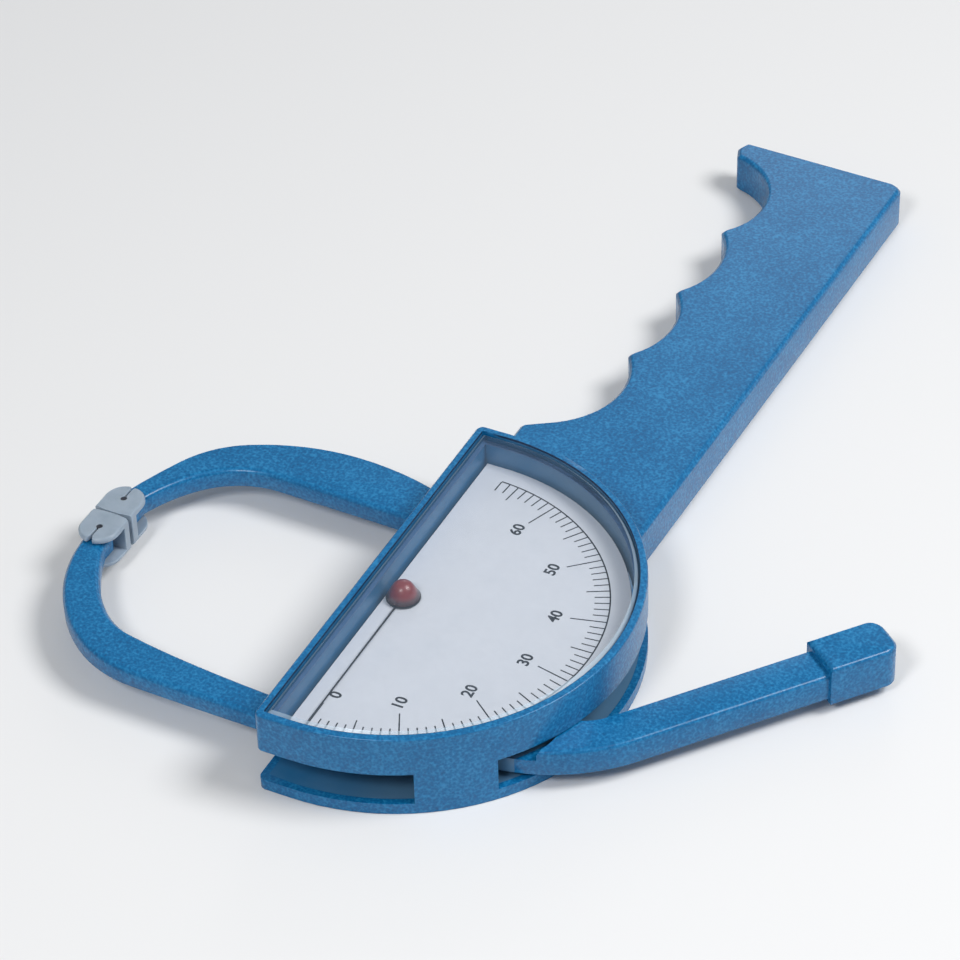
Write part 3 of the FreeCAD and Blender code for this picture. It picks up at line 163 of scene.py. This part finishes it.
class Finish:
    """A material, with the nodes that vary it."""

    def __init__(self, name, colour, roughness, metallic=0.0, **fixed):
        self.material = bpy.data.materials.new(name)
        self.material.use_nodes = True
        self.tree = self.material.node_tree
        self.skin = self.tree.nodes["Principled BSDF"]
        self.set("Base Color", (*colour, 1))
        self.set("Roughness", roughness)
        self.set("Metallic", metallic)
        for socket, value in fixed.items():
            self.set(socket.replace("_", " "), value)
        self.place = self.node("TexCoord", output="Object")

    def node(self, kind, settings=None, values=None, output=0):
        """Adds a node: its settings first, then the values or links of its sockets."""
        made = self.tree.nodes.new("ShaderNode" + kind)
        for name, value in (settings or {}).items():
            if name == "stops":
                stops = made.color_ramp.elements
                while len(stops) < len(value):
                    stops.new(1)
                for stop, (position, colour) in zip(stops, value):
                    stop.position = position
                    stop.color = (*colour, 1)
            else:
                setattr(made, name, value)
        for key, value in (values or {}).items():
            if isinstance(value, Socket):
                self.tree.links.new(value.output, made.inputs[key])
            else:
                made.inputs[key].default_value = value
        return Socket(self, made.outputs[output])

    def set(self, name, value):
        """Gives one of the surface's own sockets a number, a colour or a link."""
        if isinstance(value, Socket):
            self.tree.links.new(value.output, self.skin.inputs[name])
        else:
            self.skin.inputs[name].default_value = value

    def noise(self, scale, detail=3.0, roughness=0.5):
        values = {"Vector": self.place, "Scale": scale, "Detail": detail, "Roughness": roughness}
        return self.node("TexNoise", None, values)

    def cells(self, scale, smooth):
        values = {"Vector": self.place, "Scale": scale, "Smoothness": smooth}
        return self.node("TexVoronoi", {"feature": "SMOOTH_F1"}, values, "Distance")

    def ramp(self, factor, *stops):
        return self.node("ValToRGB", {"stops": stops}, {0: factor}, "Color")

    def mix(self, factor, first, second):
        """From the first colour at 0 to the second at 1; each is a link or red, green and blue."""
        first = first if isinstance(first, Socket) else (*first, 1)
        second = second if isinstance(second, Socket) else (*second, 1)
        return self.node("Mix", {"data_type": "RGBA"}, {"Factor": factor, 6: first, 7: second}, 2)

    def bump(self, height, depth, strength=1.0):
        """Raises the surface by the height, which runs from 0 to 1, times a depth."""
        values = {"Strength": strength, "Distance": depth, "Height": height}
        self.set("Normal", self.node("Bump", None, values))


# ---------------------------------------------------------------- finishes

def inside_cup(made):
    """1 on the cup's walls, and 1 on the strip of them round the lens where a shadow is painted."""
    margin = 0.12 * MM
    above_floor = made.place.part("Z").between(0.5 * MM, 1.5 * MM)
    level = made.node("VectorMath", {"operation": "MULTIPLY"}, {0: made.place, 1: (1, 1, 0)})
    out = made.node("VectorMath", {"operation": "LENGTH"}, {0: level}, "Value")
    round_side = 1 - out.between(SEAT_RADIUS, SEAT_RADIUS + margin)
    flat_side = made.place.part("X").between(SEAT_FLAT - margin, SEAT_FLAT)
    inside = round_side * flat_side * above_floor
    # painted shadow: the top of the cup's wall, just under the lens, is marked for a dark navy that
    # stands for the shadow in the gap round the lens
    shade = made.place.part("Z").between(LENS_TOP - 4 * margin, LENS_TOP - 2 * margin)
    return inside, inside * shade


def blue_enamel():
    """Stoved enamel: a fine pebbled skin, paler on its crests, and a plain matt coat in the cup, whose
    walls carry painted light: painted reflection, painted shade and a painted shadow round the lens.
    """
    made = Finish("blue_enamel", (0.002, 0.133, 0.33), 0.42, Specular_IOR_Level=0.1, Coat_Weight=0.7,
                  Coat_Roughness=0.25)
    drift = made.noise(90, 3, 0.6)
    pebbles = made.cells(1900, 0.9)
    grain = made.noise(1700, 3, 0.65)
    height = pebbles * 0.6 + grain * 0.9
    light = (height * 0.8 + drift * 0.3).between(0.25, 1.15)
    skin = made.ramp(light, (0.0, (0.001, 0.074, 0.205)), (0.5, (0.002, 0.134, 0.332)),
                     (1.0, (0.024, 0.245, 0.51)))
    cup, shade = inside_cup(made)
    # painted reflection and shade: the cup's wall is greyer on its round side than on its flat side, with
    # blotches of paler blue over it, standing for the lens's reflection and the light falling differently
    # on each side
    haze = made.noise(90, 3)
    painted_light_round_wall = made.place.part("X").between(0.0, 20 * MM)
    wall = made.mix(painted_light_round_wall, (0.014, 0.14, 0.31), (0.075, 0.175, 0.29))
    wall = made.mix(haze.between(0.3, 0.8) * 0.4, wall, (0.09, 0.21, 0.36))
    coat = made.mix(cup, skin, wall)
    # painted shadow: dark navy on the strip of wall round the lens
    made.set("Base Color", made.mix(shade, coat, (0.003, 0.025, 0.075)))
    made.set("Roughness", 0.38 + grain * 0.16 + cup * 0.2)
    made.bump(height * (1 - cup), 0.06 * MM, 0.75)
    return made.material


def tip_plastic():
    """Pale, slightly translucent moulding, clouded a little."""
    made = Finish("tip_plastic", (0.27, 0.335, 0.40), 0.4, Subsurface_Weight=0.5,
                  Subsurface_Scale=1.5 * MM, Subsurface_Radius=(0.8, 0.9, 1.0), Coat_Weight=0.25,
                  Coat_Roughness=0.2)
    cloud = made.noise(420, 3)
    made.set("Base Color", made.mix(cloud, (0.235, 0.30, 0.365), (0.36, 0.43, 0.51)))
    made.set("Roughness", 0.36 + cloud * 0.2)
    made.bump(made.noise(1800, 2), 0.02 * MM, 0.5)
    return made.material


def turned_metal(name, colour, dark, roughness):
    """Bright metal with fine tool marks and a little tarnish."""
    made = Finish(name, colour, roughness, metallic=1.0)
    tarnish = made.noise(350, 4, 0.6)
    marks = made.noise(5200, 1)
    made.set("Base Color", made.mix(tarnish.between(0.4, 0.75), colour, dark))
    made.set("Roughness", roughness + marks * 0.16)
    made.bump(marks, 0.006 * MM, 0.4)
    return made.material


def dial_white():
    """White lacquered card under the lens, with the faint mottle of its metal."""
    made = Finish("dial_white", (0.67, 0.70, 0.75), 0.5)
    mottle = made.noise(900, 3)
    made.set("Base Color", made.mix(mottle, (0.64, 0.668, 0.725), (0.70, 0.728, 0.782)))
    made.set("Roughness", 0.42 + mottle * 0.15)
    made.bump(made.noise(2500, 2), 0.01 * MM, 0.4)
    return made.material


def printed_ink():
    """Black ink, worn a little grey."""
    black = (0.012, 0.013, 0.016)
    made = Finish("printed_ink", black, 0.55)
    wear = made.noise(4000, 2)
    made.set("Base Color", made.mix(wear.between(0.55, 0.9), black, (0.05, 0.052, 0.06)))
    made.set("Roughness", 0.45 + wear * 0.2)
    return made.material


def needle_black():
    """Satin black paint with a little dust on it."""
    made = Finish("needle_black", (0.012, 0.012, 0.014), 0.4, Specular_IOR_Level=0.3, Coat_Weight=0.1)
    dust = made.noise(3000, 2)
    made.set("Base Color", made.mix(dust.between(0.5, 0.85), (0.008, 0.008, 0.010), (0.03, 0.03, 0.034)))
    made.set("Roughness", 0.3 + dust * 0.15)
    return made.material


def cap_red():
    """Dull red plastic, darker where its foot meets the hub, which is painted shade."""
    made = Finish("cap_red", (0.23, 0.015, 0.015), 0.4, Coat_Weight=0.9, Coat_Roughness=0.3)
    cloud = made.noise(500, 3)
    # painted shade: the foot of the cap, next to the hub, turns nearly black
    foot = 1 - made.place.part("Z").between(CAP_BASE + 0.5 * MM, CAP_BASE + 1.5 * MM)
    red = made.mix(cloud, (0.175, 0.009, 0.009), (0.275, 0.022, 0.021))
    made.set("Base Color", made.mix(foot, red, (0.06, 0.009, 0.011)))
    made.set("Roughness", 0.36 + cloud * 0.15)
    made.bump(made.noise(2200, 2), 0.012 * MM, 0.4)
    return made.material


def lens_clear():
    """Clear sheet, with its bevel painted pale as a highlight, its upright sides painted dark as the
    shadow in the gap round it, and a few faint handling marks.
    """
    made = Finish("lens_clear", (0.30, 0.40, 0.52), 0.06, Coat_Weight=0.3, Coat_Roughness=0.12)
    upright = abs(made.node("TexCoord", output="Normal").part("Z"))
    slope = 1 - upright.between(0.85, 0.99)
    side = 1 - upright.between(0.2, 0.5)
    haze = made.noise(120, 3)
    made.set("Alpha", 0.065 + slope * 0.36 + haze.between(0.45, 0.8) * 0.03)
    # painted highlight: the bevel is paler than the flat sheet
    clear = made.mix(slope, (0.30, 0.40, 0.52), (0.55, 0.72, 0.86))
    # painted shadow: the upright sides are dark navy, standing for the shadowed gap between the lens and
    # its seat
    made.set("Base Color", made.mix(side, clear, (0.04, 0.13, 0.24)))
    made.set("Roughness", 0.05 + haze * 0.08 + slope * 0.2)
    return made.material


def gasket_rubber():
    """Dark blue rubber with a dusty bloom."""
    made = Finish("gasket_rubber", (0.06, 0.14, 0.27), 0.6)
    bloom = made.noise(1200, 3)
    made.set("Base Color", made.mix(bloom, (0.045, 0.125, 0.27), (0.08, 0.17, 0.32)))
    made.set("Roughness", 0.6 + bloom * 0.2)
    made.bump(bloom, 0.02 * MM, 0.5)
    return made.material


SLOT_FINISH = {
    "blue_enamel": blue_enamel(),
    "tip_plastic": tip_plastic(),
    "steel": turned_metal("steel", (0.62, 0.62, 0.63), (0.42, 0.41, 0.40), 0.22),
    "brass": turned_metal("brass", (0.75, 0.56, 0.26), (0.50, 0.34, 0.14), 0.25),
    "spring_steel": turned_metal("spring_steel", (0.30, 0.31, 0.34), (0.16, 0.16, 0.17), 0.32),
    "plate_metal": turned_metal("plate_metal", (0.66, 0.67, 0.68), (0.52, 0.52, 0.53), 0.3),
    "dial_white": dial_white(),
    "needle_black": needle_black(),
    "cap_red": cap_red(),
    "lens_clear": lens_clear(),
    "gasket_rubber": gasket_rubber(),
}
INK = printed_ink()

# the tips' pins are darker than the other steel: painted shade, standing for the shadow they sit in
SHADED_PIN = turned_metal("shaded_pin_steel", (0.13, 0.14, 0.17), (0.05, 0.05, 0.06), 0.35)
NODE_FINISH = {"fixed_tip_pin": SHADED_PIN, "moving_tip_pin": SHADED_PIN}
NODE_SLOT = {part["node"]: part["material_slot"] for part in frame["record"]["subparts"]}


def finish_frame_nodes():
    for name, piece in frame["nodes"].items():
        piece.data.materials.clear()
        piece.data.materials.append(NODE_FINISH.get(name) or SLOT_FINISH[NODE_SLOT[name]])


# ---------------------------------------------------------------- pieces

CASTING_EDGE = 0.32 * MM
TIP_EDGE = 0.15 * MM


def place_piece(name, mesh, body, slot, material=None):
    """Puts a finished mesh in the scene as a piece that rides on a body."""
    mesh.name = name
    mesh.materials.clear()
    mesh.materials.append(material or SLOT_FINISH[slot])
    piece = bpy.data.objects.new(name, mesh)
    bpy.context.scene.collection.objects.link(piece)
    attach(piece, body)
    return piece


def drawn(name, shape):
    """The mesh of a finished bmesh, which is freed."""
    mesh = bpy.data.meshes.new(name)
    shape.to_mesh(mesh)
    shape.free()
    return mesh


def baked(maker):
    """The plain mesh that an object gives with its modifiers; the object itself is removed."""
    bpy.context.view_layer.update()
    graph = bpy.context.evaluated_depsgraph_get()
    mesh = bpy.data.meshes.new_from_object(maker.evaluated_get(graph), preserve_all_data_layers=True,
                                           depsgraph=graph)
    maker.modifiers.clear()
    bpy.data.objects.remove(maker)
    return mesh


def joined_copy(node):
    """A node's loose triangles, joined into whole faces."""
    shape = bmesh.new()
    shape.from_mesh(frame["nodes"][node].data)
    bmesh.ops.remove_doubles(shape, verts=shape.verts, dist=0.002 * MM)
    bmesh.ops.dissolve_limit(shape, angle_limit=math.radians(0.5), verts=shape.verts,
                             edges=shape.edges, delimit=set())
    return shape


def softened(name, node, width):
    """A copy of a rigid node with its sharp edges rounded and its shading smooth."""
    mesh = drawn(name, joined_copy(node))
    mesh.shade_smooth()
    maker = bpy.data.objects.new(name + "_maker", mesh)
    bpy.context.scene.collection.objects.link(maker)
    round_over = maker.modifiers.new("edges", "BEVEL")
    round_over.width = width
    round_over.segments = 2
    round_over.limit_method = "ANGLE"
    round_over.angle_limit = math.radians(50)
    round_over.miter_outer = "MITER_ARC"
    even = maker.modifiers.new("shading", "WEIGHTED_NORMAL")
    even.keep_sharp = False
    even.weight = 60
    return baked(maker)


def castings_and_tips():
    """The two castings and the two tips, each with the edge that its making leaves."""
    for name, node, body, slot, edge in [
        ("frame_casting", "body_frame", "frame", "blue_enamel", CASTING_EDGE),
        ("lever_casting", "jaw_lever", "lever", "blue_enamel", CASTING_EDGE),
        ("fixed_tip_shell", "fixed_tip", "fixed_tip", "tip_plastic", TIP_EDGE),
        ("moving_tip_shell", "moving_tip", "moving_tip", "tip_plastic", TIP_EDGE),
    ]:
        piece = place_piece(name, softened(name, node, edge), body, slot)
        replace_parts(piece, node)


def cap():
    """The cap on the needle's hub, spun from its profile: a flared foot and a round top."""
    chamfer = Vector((0.12, 0.1)) * MM
    rise = (CAP_TOP - CAP_BASE) - CAP_CROWN
    touch = math.atan2(rise, CAP_FOOT) + math.asin(CAP_CROWN / math.hypot(CAP_FOOT, rise))
    start = math.pi / 2 - touch
    steps = 14
    profile = [(CAP_FOOT - chamfer.x, CAP_BASE), (CAP_FOOT, CAP_BASE + chamfer.y)]
    for k in range(steps + 1):
        lift = start + (math.pi / 2 - start) * k / steps
        profile.append((CAP_CROWN * math.cos(lift), CAP_BASE + rise + CAP_CROWN * math.sin(lift)))
    profile[-1] = (0.0, CAP_TOP)
    shape = bmesh.new()
    line = [shape.verts.new((x, 0, z)) for x, z in profile]
    edges = [shape.edges.new(pair) for pair in zip(line, line[1:])]
    bmesh.ops.spin(shape, geom=line + edges, axis=(0, 0, 1), cent=(0, 0, 0), steps=64,
                   angle=2 * math.pi, use_merge=False)
    bmesh.ops.remove_doubles(shape, verts=shape.verts, dist=0.001 * MM)
    rim = [edge for edge in shape.edges if edge.is_boundary]
    bmesh.ops.contextual_create(shape, geom=rim)
    bmesh.ops.recalc_face_normals(shape, faces=shape.faces)
    mesh = drawn("hub_cap", shape)
    mesh.shade_smooth()
    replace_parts(place_piece("hub_cap", mesh, "needle", "cap_red"), "needle_cap")


def pointer():
    """The needle, with its blade dressed to half its width and its disc to just past the cap."""
    inner = 0.9 * HUB_RADIUS
    outer = 1.02 * HUB_RADIUS
    blade = 0.55 * MM
    disc = CAP_FOOT + 0.1 * MM
    shape = joined_copy("needle")
    for vert in shape.verts:
        if vert.co.y < -inner and abs(vert.co.x) < blade:
            vert.co.x *= 0.5
        reach = math.hypot(vert.co.x, vert.co.y)
        if inner < reach < outer:
            vert.co.x *= disc / reach
            vert.co.y *= disc / reach
    mesh = drawn("pointer", shape)
    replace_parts(place_piece("pointer", mesh, "needle", "needle_black"), "needle")


# ---------------------------------------------------------------- the printed scale

def mark_tree():
    """A fan of equal bars: one at each step of the fold, with its outer end on the scale's arc."""
    tree = bpy.data.node_groups.new("scale_marks", "GeometryNodeTree")
    face = tree.interface
    numbers = ["Radius", "Start", "Step", "Jaw Reach", "Gearing", "Length", "Width", "Thickness", "Level"]
    face.new_socket("Count", in_out="INPUT", socket_type="NodeSocketInt")
    for name in numbers:
        face.new_socket(name, in_out="INPUT", socket_type="NodeSocketFloat")
    face.new_socket("Ink", in_out="INPUT", socket_type="NodeSocketMaterial")
    face.new_socket("Marks", in_out="OUTPUT", socket_type="NodeSocketGeometry")
    given = tree.nodes.new("NodeGroupInput").outputs

    def node(kind, settings=None, values=None):
        made = tree.nodes.new(kind)
        for name, value in (settings or {}).items():
            setattr(made, name, value)
        for key, value in (values or {}).items():
            if isinstance(value, bpy.types.NodeSocket):
                tree.links.new(value, made.inputs[key])
            else:
                made.inputs[key].default_value = value
        return made.outputs[0]

    def maths(operation, first, second=0.0):
        return node("ShaderNodeMath", {"operation": operation}, {0: first, 1: second})

    def triple(*values):
        return node("ShaderNodeCombineXYZ", None, dict(enumerate(values)))

    # the fold that each mark stands for, the lever's angle at it, and the needle's
    fold = maths("MULTIPLY", node("GeometryNodeInputIndex"), given["Step"])
    half_lever = maths("ARCSINE", maths("DIVIDE", fold, maths("MULTIPLY", given["Jaw Reach"], 2.0)))
    sweep = maths("MULTIPLY", half_lever, maths("MULTIPLY", given["Gearing"], 2.0))
    turn = maths("ADD", given["Start"], sweep)

    # a bar at each angle, hung from the arc
    reach = maths("SUBTRACT", given["Radius"], maths("MULTIPLY", given["Length"], 0.5))
    across = maths("MULTIPLY", reach, maths("COSINE", turn))
    along = maths("MULTIPLY", reach, maths("SINE", turn))
    place = triple(across, along, given["Level"])
    points = node("GeometryNodePoints", None, {"Count": given["Count"], "Position": place})
    size = triple(given["Length"], given["Width"], given["Thickness"])
    bar = node("GeometryNodeMeshCube", None, {"Size": size})
    spin = node("FunctionNodeEulerToRotation", None, {0: triple(0.0, 0.0, turn)})
    placed = node("GeometryNodeInstanceOnPoints", None,
                  {"Points": points, "Instance": bar, "Rotation": spin})
    whole = node("GeometryNodeRealizeInstances", None, {0: placed})
    inked = node("GeometryNodeSetMaterial", None, {"Geometry": whole, "Material": given["Ink"]})
    tree.links.new(inked, tree.nodes.new("NodeGroupOutput").inputs[0])
    return tree


def scale_marks(name, tree, step, length):
    """One kind of mark of the scale, every step of so many millimetres from zero."""
    maker = bpy.data.objects.new(name, bpy.data.meshes.new(name))
    bpy.context.scene.collection.objects.link(maker)
    made = maker.modifiers.new("marks", "NODES")
    made.node_group = tree
    values = {"Count": SCALE_LAST // step + 1, "Radius": SCALE_RADIUS, "Start": SCALE_START,
              "Step": step * MM, "Jaw Reach": JAW_REACH, "Gearing": GEARING, "Length": length,
              "Width": MARK_WIDTH, "Thickness": PRINT, "Level": DIAL_TOP + PRINT / 2, "Ink": INK}
    for item in tree.interface.items_tree:
        if item.in_out == "INPUT":
            made[item.identifier] = values[item.name]
    place_piece(name, baked(maker), "frame", "dial_white", INK)


def scale_arc():
    """The thin line that the marks hang from."""
    shape = bmesh.new()
    steps = SCALE_LAST * 2
    section = [(0, 0), (ARC_WIDTH, 0), (ARC_WIDTH, PRINT), (0, PRINT)]
    rows = []
    for k in range(steps + 1):
        turn = needle_angle(k / 2)
        row = []
        for out, z in section:
            reach = SCALE_RADIUS + out
            row.append(shape.verts.new((reach * math.cos(turn), reach * math.sin(turn), DIAL_TOP + z)))
        rows.append(row)
    for first, second in zip(rows, rows[1:]):
        for a in range(len(section)):
            b = (a + 1) % len(section)
            shape.faces.new((first[a], first[b], second[b], second[a]))
    shape.faces.new(rows[0][::-1])
    shape.faces.new(rows[-1])
    bmesh.ops.recalc_face_normals(shape, faces=shape.faces)
    place_piece("scale_arc", drawn("scale_arc", shape), "frame", "dial_white", INK)


def numerals():
    """Plain numbers inside the long marks; they read along the flat side."""
    for value in range(0, SCALE_LAST, 10):
        text = bpy.data.curves.new(f"number_{value}", "FONT")
        text.body = str(value)
        text.size = NUMERAL_HEIGHT
        text.align_x = "CENTER"
        text.align_y = "CENTER"
        text.extrude = PRINT / 2
        text.offset = NUMERAL_STROKE
        maker = bpy.data.objects.new(f"number_{value}_maker", text)
        bpy.context.scene.collection.objects.link(maker)
        mesh = baked(maker)
        turn = needle_angle(value)
        place = Vector((math.cos(turn), math.sin(turn), 0)) * NUMERAL_RADIUS
        place.z = DIAL_TOP + PRINT / 2
        if value == 0:
            place.x += ZERO_SHIFT
        mesh.transform(Matrix.Translation(place) @ Matrix.Rotation(math.radians(90), 4, "Z"))
        place_piece(f"number_{value}", mesh, "frame", "dial_white", INK)


def printed_scale():
    tree = mark_tree()
    scale_marks("marks_each", tree, 1, SINGLE_LENGTH)
    scale_marks("marks_five", tree, 5, FIVE_LENGTH)
    scale_marks("marks_ten", tree, 10, TEN_LENGTH)
    scale_arc()
    numerals()


# ---------------------------------------------------------------- the studio

FLOOR_HALF = 1.5
FLOOR_DROP = 0.1 * MM
LAMP_AIM = Vector((0.01, 0.05, 0.0))


def floor():
    """A pale matt card just under the caliper."""
    corners = [(-FLOOR_HALF, -FLOOR_HALF, 0), (FLOOR_HALF, -FLOOR_HALF, 0),
               (FLOOR_HALF, FLOOR_HALF, 0), (-FLOOR_HALF, FLOOR_HALF, 0)]
    mesh = bpy.data.meshes.new("floor")
    mesh.from_pydata(corners, [], [(0, 1, 2, 3)])
    card = Finish("floor_card", (0.80, 0.80, 0.80), 0.9, Specular_IOR_Level=0.1)
    mesh.materials.append(card.material)
    ground = bpy.data.objects.new("floor", mesh)
    ground.location = (0, 0, cad_box[0][2] - FLOOR_DROP)
    bpy.context.scene.collection.objects.link(ground)


def lamp(name, place, size, power):
    """A round soft lamp that faces the caliper."""
    light = bpy.data.lights.new(name, "AREA")
    light.shape = "DISK"
    light.size = size
    light.energy = power
    made = bpy.data.objects.new(name, light)
    made.location = place
    made.rotation_euler = (LAMP_AIM - Vector(place)).to_track_quat("-Z", "Y").to_euler()
    bpy.context.scene.collection.objects.link(made)


def studio():
    world = bpy.data.worlds.new("studio")
    world.use_nodes = True
    sky = world.node_tree.nodes["Background"]
    sky.inputs["Color"].default_value = (0.93, 0.96, 1.0, 1)
    sky.inputs["Strength"].default_value = 0.32
    bpy.context.scene.world = world
    lamp("key", (0.64, 0.22, 0.84), 0.45, 7.8)
    lamp("fill", (0.0, -0.64, 0.75), 0.25, 3.5)
    lamp("rim", (-0.27, 0.94, 0.42), 0.4, 0.65)


# ---------------------------------------------------------------- the camera

EYE = Vector((0.2674, -0.4811, 0.4877))
EYE_DOWN = Vector((0.22785, -0.50898, -0.83007))
AIM = Vector((-0.0068, 0.0456, 0.004))
SENSOR_SIDE = 36
FOCAL_LENGTH = 146
NEAREST = 0.01


def camera():
    """Looks from the eye at the middle of the caliper, turned so that EYE_DOWN points down."""
    forward = (AIM - EYE).normalized()
    right = EYE_DOWN.cross(forward).normalized()
    up = right.cross(forward)
    lens = bpy.data.cameras.new("camera")
    lens.sensor_width = SENSOR_SIDE
    lens.lens = FOCAL_LENGTH
    lens.clip_start = NEAREST
    made = bpy.data.objects.new("camera", lens)
    made.matrix_world = Matrix.Translation(EYE) @ Matrix((right, up, -forward)).transposed().to_4x4()
    bpy.context.scene.collection.objects.link(made)
    bpy.context.scene.camera = made


finish_frame_nodes()
castings_and_tips()
cap()
pointer()
printed_scale()
floor()
studio()
camera()
bpy.context.scene.view_settings.view_transform = "Standard"
